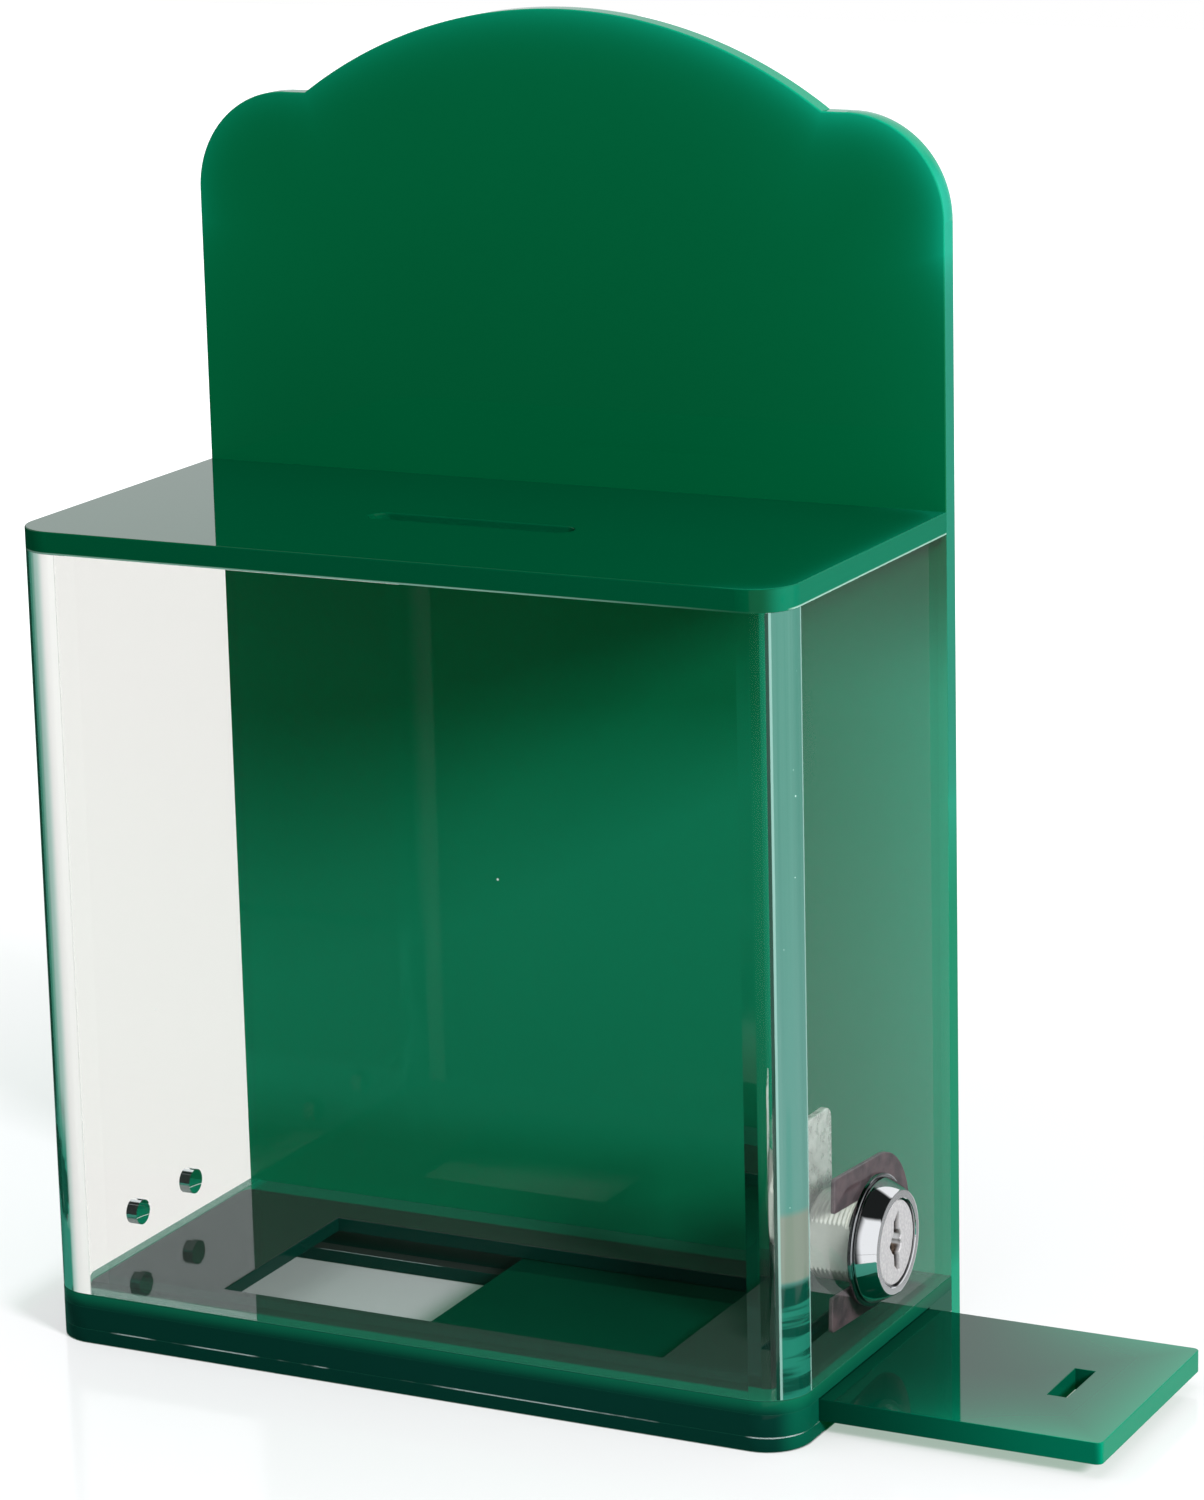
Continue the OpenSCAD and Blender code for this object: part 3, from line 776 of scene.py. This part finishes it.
# Each sheet's middle and edge colours, and how far its edge light reaches. All the pieces are one green
# sheet: their middle colours differ from piece to piece partly as painted light and shade.
HEADER_REACH, SHEET_REACH, DOOR_REACH = 3 * MM, 2 * MM, 15 * MM
GREEN_CORE, GREEN_EDGE = rgb(0, 83, 47), rgb(8, 136, 104)
LID_CORE, LID_EDGE = rgb(0, 66, 40), rgb(6, 100, 74)
BASE_CORE, BASE_EDGE = rgb(3, 41, 33), rgb(4, 72, 54)
DOOR_CORE, DOOR_EDGE = rgb(0, 46, 32), rgb(0, 124, 92)
# Light on the header inside the case, and from its right-hand end
DAYLIGHT_TONE, DAYLIGHT_REACH, END_TONE = rgb(30, 150, 116), 40 * MM, rgb(66, 174, 161)


def put(piece, body, slot, *nodes):
    """The piece rides on a body and stands for the nodes. The slot is not used."""
    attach(piece, body)
    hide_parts(*nodes)


def plan_loop(inset=0.0, back=HEADER_FACE):
    """The case in plan: square at the back, two round corners at the front."""
    radius = CORNER_R - inset
    x, y = HALF_W - CORNER_R, FRONT + CORNER_R
    loop = arc((-x, y), radius, 180, 270, 24)
    loop += arc((x, y), radius, 270, 360, 24)
    return loop + [(HALF_W - inset, back), (-HALF_W + inset, back)]


def header_loop():
    """The header from the front: straight sides, two round shoulders and an arch between them."""
    inner, straight = HALF_W - SHOULDER_R, SHOULDER_TOP - SHOULDER_R
    spread = math.degrees(math.asin(ARCH_HALF / ARCH_R))
    loop = [(-HALF_W, 0.0), (HALF_W, 0.0)]
    loop += arc((inner, straight), SHOULDER_R, 0, 90, 32)
    loop += arc((0.0, HEADER_HIGH[2] - ARCH_R), ARCH_R, 90 - spread, 90 + spread, 96)
    return loop + arc((-inner, straight), SHOULDER_R, 90, 180, 32)


def round_slot_loop(centre, length, width, steps=16):
    r, half = width / 2, (length - width) / 2
    right = arc((centre[0] + half, centre[1]), r, -90, 90, steps)
    return right + arc((centre[0] - half, centre[1]), r, 90, 270, steps)


def header_depth(n):
    centre = (0.0, 0.0, (SHOULDER_TOP + HEADER_LOW[2]) / 2)
    half = (HALF_W, 0.0, (SHOULDER_TOP - HEADER_LOW[2]) / 2)
    panel = depth_in_box(n, "XZ", centre, half, SHOULDER_R)
    return n.most(panel, depth_in_circle(n, "XZ", (0.0, 0.0, HEADER_HIGH[2] - ARCH_R), ARCH_R))


def header_lit(n):
    """The edges glow more on the right, and less below the lid."""
    x, _, z = n.place()
    strong = n.plus(n.times(n.ramp(x, -HALF_W, HALF_W), 0.65), 0.35)
    below = n.ramp(z, LID_LOW[2], LID_LOW[2] - 30 * MM)
    return n.times(strong, n.minus(1.0, n.times(below, 0.45)))


def daylight(n):
    """How much lighter the face is inside the case. Seen through the front it is dark under the lid and
    even lower down, from higher up on the right. Beside the right wall it is lightest."""
    x, _, z = n.place()
    below = n.minus(LID_LOW[2], z)
    across = n.ramp(x, -HALF_W, HALF_W)
    start = n.minus(51 * MM, n.times(across, 14 * MM))
    end = n.minus(115 * MM, n.times(across, 66 * MM))
    even = n.plus(n.times(n.slope(below, start, end), 0.27), n.times(n.ramp(below, 0.0, 20 * MM), 0.06))
    even = n.times(even, n.plus(n.times(n.ramp(z, 24 * MM, 38 * MM), 0.5), 0.5))
    fading = n.math("EXPONENT", n.times(n.minus(HALF_W, x), -1 / DAYLIGHT_REACH))
    strong = n.times(n.plus(n.times(fading, 0.95), 0.06), n.ramp(below, 0.0, 40 * MM))
    amount = n.choose(n.ramp(x, 42 * MM, 55 * MM), even, strong)
    return n.times(amount, n.ramp(n.facing()[1], -0.8, -0.95))


def end_glow(n):
    """The end that faces the window side, which lets out more light in its upper part."""
    return n.times(n.ramp(n.facing()[0], 0.8, 0.95), n.ramp(n.place()[2], 90 * MM, 130 * MM), 0.25)


def make_header():
    material, rim = sheet_pair("green_header", GREEN_CORE, GREEN_EDGE, HEADER_REACH, header_depth, header_lit,
                               [(daylight, DAYLIGHT_TONE), (end_glow, END_TONE)])
    piece = slab("header_panel", [header_loop()], HEADER_LOW[1] + SEAM, HEADER_HIGH[1], material, facing_back,
                 rim=rim)
    put(piece, "case", "green_acrylic", "back_panel")


def plan_depth(n):
    centre = (0.0, (FRONT + HEADER_FACE) / 2, 0.0)
    half = (HALF_W, (HEADER_FACE - FRONT) / 2, 0.0)
    return depth_in_box(n, "XY", centre, half, CORNER_R)


def right_lit(n):
    """The edges that face the window side, on the right, glow more."""
    to_right, _, up = n.facing()
    turned = n.most(n.ramp(to_right, 0.5, 0.9), n.ramp(n.size(up), 0.5, 0.9))
    return n.times(n.ramp(n.place()[0], 0.75 * HALF_W, HALF_W), turned)


def on_sides(n):
    return n.ramp(n.size(n.facing()[2]), 0.5, 0.3)


def on_top(n):
    return n.ramp(n.facing()[2], 0.5, 0.9)


def glue_bead(n):
    """A thin broken line of set cement where the bottom sheet meets the rails."""
    line = n.ramp(n.size(n.minus(n.place()[2], BASE_HIGH[2])), 0.16 * MM, 0.06 * MM)
    return n.times(line, n.ramp(n.noise(60.0, 3.0), 0.46, 0.56), on_sides(n), 0.8)


def edge_light(n):
    """The upper part of the base's sides, which light in the floor sheet reaches."""
    outer = n.times(on_sides(n), n.ramp(plan_depth(n), 2 * MM, 1 * MM))
    return n.times(n.ramp(n.place()[2], 7.5 * MM, 11.2 * MM), outer, 0.75)


def light_under_wall(n):
    """Painted light on the strip of the floor sheet that the clear wall is cemented to, plainest along the
    left side.
    """
    ring = n.times(n.ramp(plan_depth(n), WALL + 0.3 * MM, WALL), on_top(n))
    return n.times(ring, n.slope(n.place()[0], -HALF_W + WALL, -HALF_W + 1.5 * WALL, 0.95, 0.5))


def floor_haze(n):
    """A faint mauve haze laid over the faces that look up."""
    return n.times(on_top(n), 0.06)


def lid_lower_line(n):
    """A bright line along the lid's lower edge, at the front, fading towards the right-hand corner, and on
    the right side, where the lid meets the clear wall.
    """
    x, _, z = n.place()
    to_right, to_back, _ = n.facing()
    line = n.ramp(z, LID_LOW[2] + 0.45 * MM, LID_LOW[2] + 0.25 * MM)
    front = n.times(n.ramp(to_back, -0.6, -0.9), n.ramp(x, HALF_W, 0.2 * HALF_W), 0.6)
    return n.times(line, n.most(front, n.ramp(to_right, 0.9, 0.99)))


def make_lid():
    material, rim = sheet_pair("green_lid", LID_CORE, LID_EDGE, SHEET_REACH, plan_depth, right_lit,
                               [(lid_lower_line, rgb(130, 170, 155))])
    loops = [plan_loop(), round_slot_loop((0.0, SLOT_Y), SLOT_L, SLOT_W)]
    piece = slab("lid", loops, LID_LOW[2] + SEAM, LID_HIGH[2], material, bevels=(0.0, SHEET_BEVEL), rim=rim)
    put(piece, "case", "green_acrylic", "top_panel")


def make_base():
    """Floor and bottom sheets, and the three strips between them that make the door's track."""
    look = (BASE_CORE, BASE_EDGE, SHEET_REACH, plan_depth, right_lit)
    layers = [(floor_haze, rgb(170, 120, 134)), (light_under_wall, rgb(14, 118, 90)),
              (edge_light, rgb(10, 92, 66)), (glue_bead, rgb(190, 205, 205))]
    material, rim = sheet_pair("green_base", *look, layers)
    sawn = green_sheet("green_sawn", *look, polish=0.5)
    hatch = centred_slot((0.0, TRACK_Y), HATCH_L, HATCH_W)
    cam_slot = centred_slot((CAM_X, TRACK_Y), CAM_SLOT_W, slot_under_cam(FLOOR_HIGH[2]))
    floor = slab("floor_sheet", [plan_loop(), hatch, cam_slot], FLOOR_LOW[2], FLOOR_HIGH[2] - SEAM, material,
                 bevels=(FLOOR_JOINT_BEVEL, SHEET_BEVEL), rim=rim)
    put(floor, "case", "green_acrylic", "floor_plate")
    opening = centred_slot((0.0, TRACK_Y), OPENING_L, OPENING_W)
    bottom = slab("bottom_sheet", [plan_loop(), opening], BASE_LOW[2], BASE_HIGH[2], material,
                  bevels=(SHEET_BEVEL, BASE_JOINT_BEVEL), rim=rim)
    put(bottom, "case", "green_acrylic", "bottom_plate")
    between = (BASE_JOINT_BEVEL, FLOOR_JOINT_BEVEL)
    rail = slab("front_strip", [plan_loop(back=RAIL_HIGH[1])], RAIL_LOW[2], RAIL_HIGH[2], material,
                bevels=between, rim=rim)
    put(rail, "case", "green_acrylic", "front_rail")
    for name, node, low, high in (("rear_strip", "back_rail", REAR_LOW, REAR_HIGH),
                                  ("stop_strip", "end_stop", STOP_LOW, STOP_HIGH)):
        piece = slab(name, [box_loop(low, high)], low[2], high[2], sawn, bevels=between)
        put(piece, "case", "green_acrylic", node)


def door_depth(n):
    middle = tuple((a + b) / 2 for a, b in zip(DOOR_LOW, DOOR_HIGH))
    half = tuple((b - a) / 2 for a, b in zip(DOOR_LOW, DOOR_HIGH))
    return depth_in_box(n, "XY", middle, half, DOOR_CORNER_R)


def door_lit(n):
    """The edges glow more towards the outer end, and less along the front."""
    bright = n.ramp(n.place()[0], HALF_W, DOOR_HIGH[0])
    return n.times(bright, n.slope(n.facing()[1], -0.5, -0.95, 1.0, 0.45))


def make_door():
    material, rim = sheet_pair("green_door", DOOR_CORE, DOOR_EDGE, DOOR_REACH, door_depth, door_lit,
                               seep=True)
    slot = centred_slot((CAM_X + DOOR_OUT, TRACK_Y), CAM_SLOT_W, slot_under_cam(DOOR_HIGH[2]))
    loops = [rounded(DOOR_LOW, DOOR_HIGH, DOOR_CORNER_R), slot]
    piece = slab("door_sheet", loops, DOOR_LOW[2], DOOR_HIGH[2], material, bevels=(DOOR_BEVEL, DOOR_BEVEL),
                 rim=rim)
    put(piece, "door", "green_acrylic", "sliding_door")


def cutter(loop, low, high):
    return slab("drill", [loop], low, high, bpy.data.materials.new("drill"), along_x, bevels=(0.0, 0.0))


def shell_loop():
    """The clear wall in plan: a U, open towards the header."""
    back = HEADER_FACE - SEAM
    loop = plan_loop()[:-2] + [(HALF_W, back), (HALF_W - WALL, back)]
    inner = list(reversed(plan_loop(WALL)))
    return loop + inner[2:] + [(-HALF_W + WALL, back), (-HALF_W, back)]


def shell_cutters():
    """Two drilled holes in the left side, and the lock's hole with two flats in the right side."""
    cuts = []
    for side in (-1, 1):
        hole = circle((side * TETHER_PITCH / 2, TETHER_Z), TETHER_D / 2)
        cuts.append(cutter(hole, -HALF_W - WALL, -HALF_W + 2 * WALL))
    flat = math.degrees(math.acos(BARREL_AF / 2 / BARREL_R))
    hole = arc((AXIS_Y, AXIS_Z), HOLE_R, flat, 180 - flat, 32)
    hole += arc((AXIS_Y, AXIS_Z), HOLE_R, 180 + flat, 360 - flat, 32)
    return cuts + [cutter(hole, HALF_W - 2 * WALL, HALF_W + WALL)]


def mark_glued(mesh):
    """Marks the faces of the clear wall that are cemented to the lid, the floor or the header."""
    glued = mesh.attributes.new("glued", "FLOAT", "FACE")
    for face in mesh.polygons:
        level = abs(face.normal.z) > 0.99
        back = face.normal.y > 0.99 and face.center.y > HEADER_FACE - 2 * SEAM
        glued.data[face.index].value = 1.0 if level or back else 0.0


def make_shell():
    """The bent clear wall, with its drilled holes and the lock's hole cut through it."""
    piece = slab("clear_wall", [shell_loop()], SHELL_LOW[2] + SEAM, SHELL_HIGH[2] - SEAM, clear_acrylic(),
                 bevels=(0.0, 0.0))
    cuts = shell_cutters()
    for cut in cuts:
        carve = piece.modifiers.new("drill", "BOOLEAN")
        carve.object = cut
        carve.operation = "DIFFERENCE"
        carve.solver = "EXACT"
    mesh = bpy.data.meshes.new_from_object(piece.evaluated_get(bpy.context.evaluated_depsgraph_get()))
    piece.modifiers.clear()
    piece.data = mesh
    for cut in cuts:
        bpy.data.objects.remove(cut)
    if "sharp_edge" in mesh.attributes:
        mesh.attributes.remove(mesh.attributes["sharp_edge"])
    shade(mesh)
    mark_glued(mesh)
    put(piece, "case", "clear_acrylic", "clear_shell")


# -------- lock


def threaded(radius, out, turn):
    """The barrel's outside: a fine thread, a groove for the clip and two flats. The head stays round."""
    if out >= TRIM_T or radius <= PLUG_R + MM:
        return on_circle(radius, out, turn)
    if out > BARREL_END + THREAD_PITCH:
        phase = math.tau * (out / THREAD_PITCH - turn / math.tau)
        radius -= THREAD_DEPTH * (0.5 - 0.5 * math.cos(phase))
    if CLIP_BACK <= out <= CLIP_FACE:
        radius = min(radius, GROOVE_R)
    flat = BARREL_AF / 2
    side = max(-flat, min(flat, radius * math.sin(turn)))
    return (HALF_W + out, AXIS_Y + side, AXIS_Z + radius * math.cos(turn))


def make_head(material, barrel_material):
    """The lock's head, sunk around the plug's face, and the threaded barrel behind it."""
    chamfer, lip, bore = 0.6 * MM, 0.3 * MM, PLUG_R + PLUG_GAP
    seat, first = FACE_OUT - FACE_T - PLUG_GAP, BARREL_END + THREAD_PITCH
    count = round((TRIM_T - BARREL_END - THREAD_PITCH) / THREAD_PITCH * THREAD_STEPS)
    profile = [(bore, BARREL_END), (BARREL_R - chamfer, BARREL_END), (BARREL_R, BARREL_END + chamfer)]
    profile += [(BARREL_R, first + i * THREAD_PITCH / THREAD_STEPS) for i in range(count)]
    profile += [(BARREL_R, TRIM_T), (HEAD_BASE_R - lip, TRIM_T),
                (HEAD_BASE_R - 0.1 * lip, TRIM_T + 0.3 * lip), (HEAD_BASE_R, TRIM_T + lip),
                (HEAD_BASE_R, TRIM_T + 2 * lip), (HEAD_RIM_R, HEAD_OUT - lip),
                (HEAD_RIM_R - 0.3 * lip, HEAD_OUT - 0.1 * lip), (HEAD_RIM_R - lip, HEAD_OUT),
                (RECESS_R + 0.5 * lip, HEAD_OUT), (RECESS_R, HEAD_OUT - 0.5 * lip), (RECESS_R, seat),
                (bore, seat)]
    piece = lathe("lock_head", profile, material, 160, threaded)
    piece.data.materials.append(barrel_material)
    for face in piece.data.polygons:
        face.material_index = 1 if face.center.x < HALF_W else 0
    put(piece, "case", "chrome", "lock_housing")


def key_radius(turn):
    """Distance from the axis to the edge of the keyhole: a tall slot that swells and wanders a little."""
    across, along = abs(math.sin(turn)), abs(math.cos(turn))
    slot = min(KEY_HALF_W / max(across, 0.01), KEY_HALF_H / max(along, 0.01))
    wander = 1 + 0.1 * math.sin(3 * turn) + 0.06 * math.sin(7 * turn) + 0.03 * math.sin(11 * turn)
    return max(slot, KEY_R) * wander


def square_radius(turn):
    return TAIL_HALF / max(abs(math.sin(turn)), abs(math.cos(turn)))


def make_core(material):
    """The plug: a face disc with the keyhole sunk in it, the body behind it and a square tail."""
    lip, sides = 0.2 * MM, 160
    shoulder, floor = CAM_HIGH[0] - HALF_W + TAIL_LEAD, FACE_OUT - KEY_DEPTH
    rings = [(key_radius, floor), (key_radius, FACE_OUT - lip), (lambda t: key_radius(t) + lip, FACE_OUT),
             (lambda t: FACE_R - lip, FACE_OUT), (lambda t: FACE_R, FACE_OUT - lip),
             (lambda t: FACE_R, FACE_OUT - FACE_T), (lambda t: PLUG_R, FACE_OUT - FACE_T),
             (lambda t: PLUG_R, shoulder), (square_radius, shoulder), (square_radius, TAIL_END)]
    turns = [math.tau * i / sides for i in range(sides)]
    loops = [[on_circle(radius(t), out, t) for t in turns] for radius, out in rings]
    put(tube("lock_core", loops, material), "plug", "plug_face", "lock_plug")


def make_clip(material):
    """A horseshoe of spring steel pushed over the barrel from the back, a few degrees off square."""
    small, big = 0.5 * MM, 1.0 * MM
    front = -CLIP_FRONT
    loop = arc((front + big, -CLIP_HALF + big), big, 180, 270, 5)
    loop += arc((CLIP_ROUND_Y, 0.0), CLIP_HALF, -90, 90, 64)
    loop += arc((front + big, CLIP_HALF - big), big, 90, 180, 5)
    loop += arc((front + small, GROOVE_R + small), small, 180, 270, 4)
    loop += arc((0.0, 0.0), GROOVE_R, 90, -90, 48)
    loop += arc((front + small, -GROOVE_R - small), small, 90, 180, 4)
    turn = Matrix.Rotation(math.radians(CLIP_TURN), 2)
    placed = [tuple(turn @ Vector(p) + Vector((AXIS_Y, AXIS_Z))) for p in loop]
    piece = slab("spring_clip", [placed], CLIP_LOW[0], CLIP_HIGH[0], material, along_x,
                 bevels=(CLIP_BEVEL, CLIP_BEVEL))
    put(piece, "case", "spring_steel", "lock_clip")


def make_cam(material):
    """A cast arm, round about the axis and square at its tip, with rounded edges."""
    loop = arc((SIDE_L, STRAIGHT_L), CAM_CORNER_R, 0, 90, 12)
    loop += arc((-SIDE_L, STRAIGHT_L), CAM_CORNER_R, 90, 180, 12)
    loop += arc((0.0, 0.0), CAM_HALF_W, 180, 360, 48)
    placed = [(y + AXIS_Y, z + AXIS_Z) for y, z in loop]
    tail = 2 * (TAIL_HALF + PLUG_GAP)
    piece = slab("cam_arm", [placed, centred_slot((AXIS_Y, AXIS_Z), tail, tail)], CAM_LOW[0], CAM_HIGH[0],
                 material, along_x, bevels=(CAM_BEVEL, CAM_BEVEL))
    put(piece, "plug", "cast_zinc", "lock_cam")


def make_trim(material):
    """The ring under the lock's head, with a rounded outer corner."""
    lip = 0.15 * MM
    profile = [(HOLE_R, 0.0), (TRIM_R - lip, 0.0), (TRIM_R, lip), (TRIM_R, TRIM_T - 2 * lip),
               (TRIM_R - 0.6 * lip, TRIM_T - 0.6 * lip), (TRIM_R - 2 * lip, TRIM_T), (HOLE_R, TRIM_T)]
    put(lathe("trim_ring", profile, material), "case", "chrome", "trim_washer")


def make_lock():
    """The pieces that show are modelled, and the small ones inside get a metal of their own."""
    make_trim(chrome("chrome_shadowed", (0.42, 0.43, 0.44, 1.0), 0.05))
    make_head(chrome("chrome_plate", (0.9, 0.9, 0.91, 1.0), 0.03),
              satin("barrel_zinc", rgb(250, 248, 240), (1.0, 30.0, 30.0)))
    make_core(plug_metal())
    make_clip(spring_steel())
    make_cam(cast_zinc())
    for node, name, tone in (("plug_wafers", "brass_punched", rgb(214, 176, 96)),
                             ("wafer_springs", "spring_wire", rgb(190, 190, 190)),
                             ("stop_washer", "zinc_plate", rgb(196, 196, 192)),
                             ("cam_star_washer", "zinc_star", rgb(200, 200, 198)),
                             ("cam_screw", "zinc_screw", rgb(206, 206, 204))):
        piece = bpy.data.objects[node]
        piece.data.materials.clear()
        piece.data.materials.append(satin(name, tone))


make_camera()
make_world()
make_stage()
make_header()
make_lid()
make_base()
make_shell()
make_door()
make_lock()
bpy.context.scene.view_settings.view_transform = "Standard"
